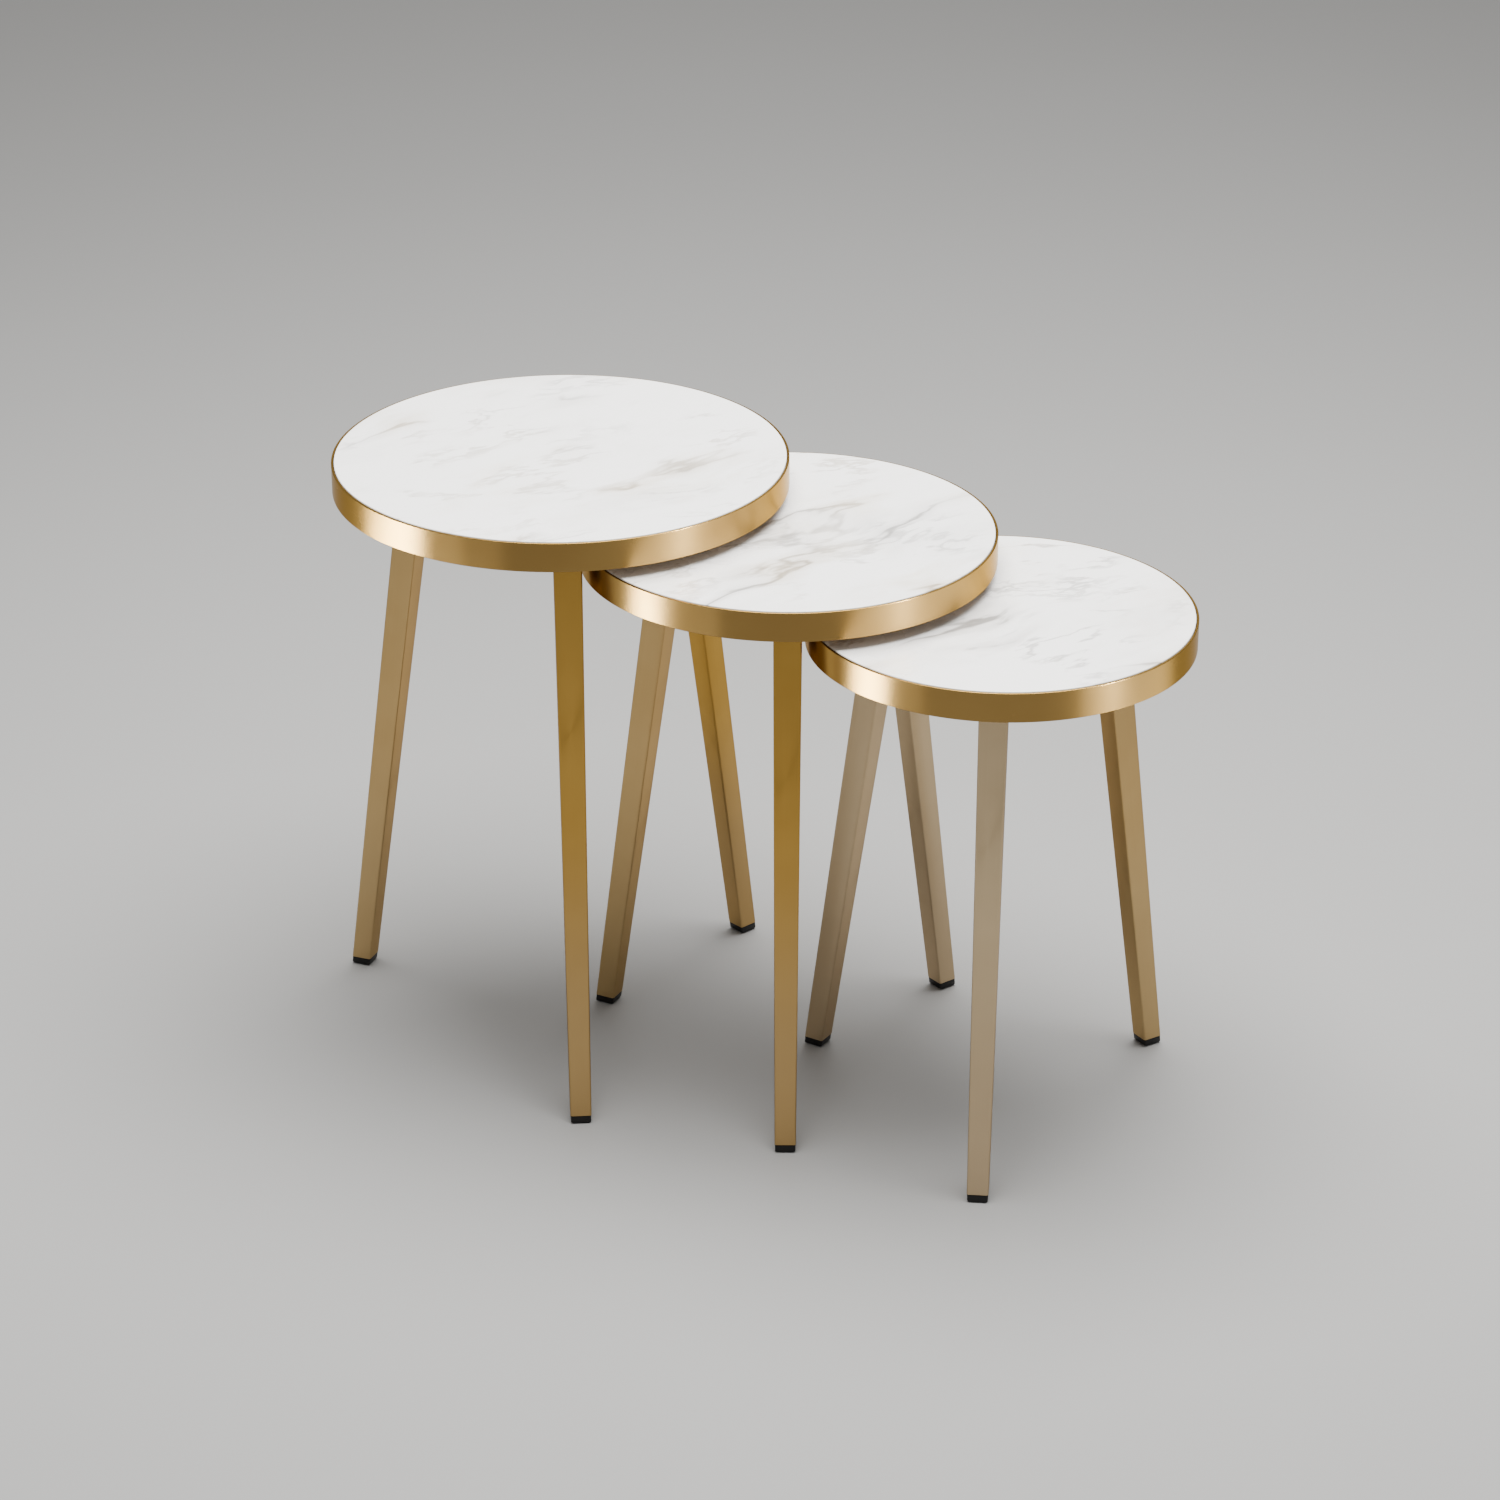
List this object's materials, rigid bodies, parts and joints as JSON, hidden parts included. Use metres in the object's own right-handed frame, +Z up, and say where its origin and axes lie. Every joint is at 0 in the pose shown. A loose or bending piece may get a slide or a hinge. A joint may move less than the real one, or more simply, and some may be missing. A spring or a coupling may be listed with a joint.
{
  "type": "nesting tables",
  "caption": "Round nesting side tables with marble tops in gold metal bands on splayed tapered legs; the smaller ones slide out from under the larger ones.",
  "frame": {"origin": "on the floor, at the middle of the whole set's outline with the tables at rest", "axes": "+Z up; +X along the set, from the large table's closed end out through its open side towards the small table; the feet stand on z = 0"},
  "size_m": [0.8842, 0.4506, 0.6],
  "materials": {
    "white_marble": "honed white marble with faint warm grey veins",
    "fibreboard": "raw medium-density fibreboard, lightly sealed",
    "satin_gold_band": "satin gold-plated steel strip",
    "satin_gold_leg": "satin gold-plated steel tube",
    "black_plastic": "moulded, fine matt",
    "zinc_screw": "bright zinc"
  },
  "bodies": {
    "large_table": {"large_marble_top": "white_marble", "large_core_board": "fibreboard", "large_rim_band": "satin_gold_band", "large_leg_front": "satin_gold_leg", "large_leg_rear": "satin_gold_leg", "large_leg_left": "satin_gold_leg", "large_foot_front": "black_plastic", "large_foot_rear": "black_plastic", "large_foot_left": "black_plastic", "large_screw_front_1": "zinc_screw", "large_screw_front_2": "zinc_screw", "large_screw_front_3": "zinc_screw", "large_screw_rear_1": "zinc_screw", "large_screw_rear_2": "zinc_screw", "large_screw_rear_3": "zinc_screw", "large_screw_left_1": "zinc_screw", "large_screw_left_2": "zinc_screw", "large_screw_left_3": "zinc_screw"},
    "medium_table": {"medium_marble_top": "white_marble", "medium_core_board": "fibreboard", "medium_rim_band": "satin_gold_band", "medium_leg_front": "satin_gold_leg", "medium_leg_rear": "satin_gold_leg", "medium_leg_left": "satin_gold_leg", "medium_foot_front": "black_plastic", "medium_foot_rear": "black_plastic", "medium_foot_left": "black_plastic", "medium_screw_front_1": "zinc_screw", "medium_screw_front_2": "zinc_screw", "medium_screw_front_3": "zinc_screw", "medium_screw_rear_1": "zinc_screw", "medium_screw_rear_2": "zinc_screw", "medium_screw_rear_3": "zinc_screw", "medium_screw_left_1": "zinc_screw", "medium_screw_left_2": "zinc_screw", "medium_screw_left_3": "zinc_screw"},
    "small_table": {"small_marble_top": "white_marble", "small_core_board": "fibreboard", "small_rim_band": "satin_gold_band", "small_leg_front": "satin_gold_leg", "small_leg_rear": "satin_gold_leg", "small_leg_left": "satin_gold_leg", "small_foot_front": "black_plastic", "small_foot_rear": "black_plastic", "small_foot_left": "black_plastic", "small_screw_front_1": "zinc_screw", "small_screw_front_2": "zinc_screw", "small_screw_front_3": "zinc_screw", "small_screw_rear_1": "zinc_screw", "small_screw_rear_2": "zinc_screw", "small_screw_rear_3": "zinc_screw", "small_screw_left_1": "zinc_screw", "small_screw_left_2": "zinc_screw", "small_screw_left_3": "zinc_screw"}
  },
  "joints": [
    {"name": "medium_slide", "type": "slide", "parent": "large_table", "child": "medium_table", "axis": [1, 0, 0], "range_m": [0, 0.25]},
    {"name": "small_slide", "type": "slide", "parent": "medium_table", "child": "small_table", "axis": [0.9962, -0.0872, 0], "range_m": [0, 0.25]}
  ]
}
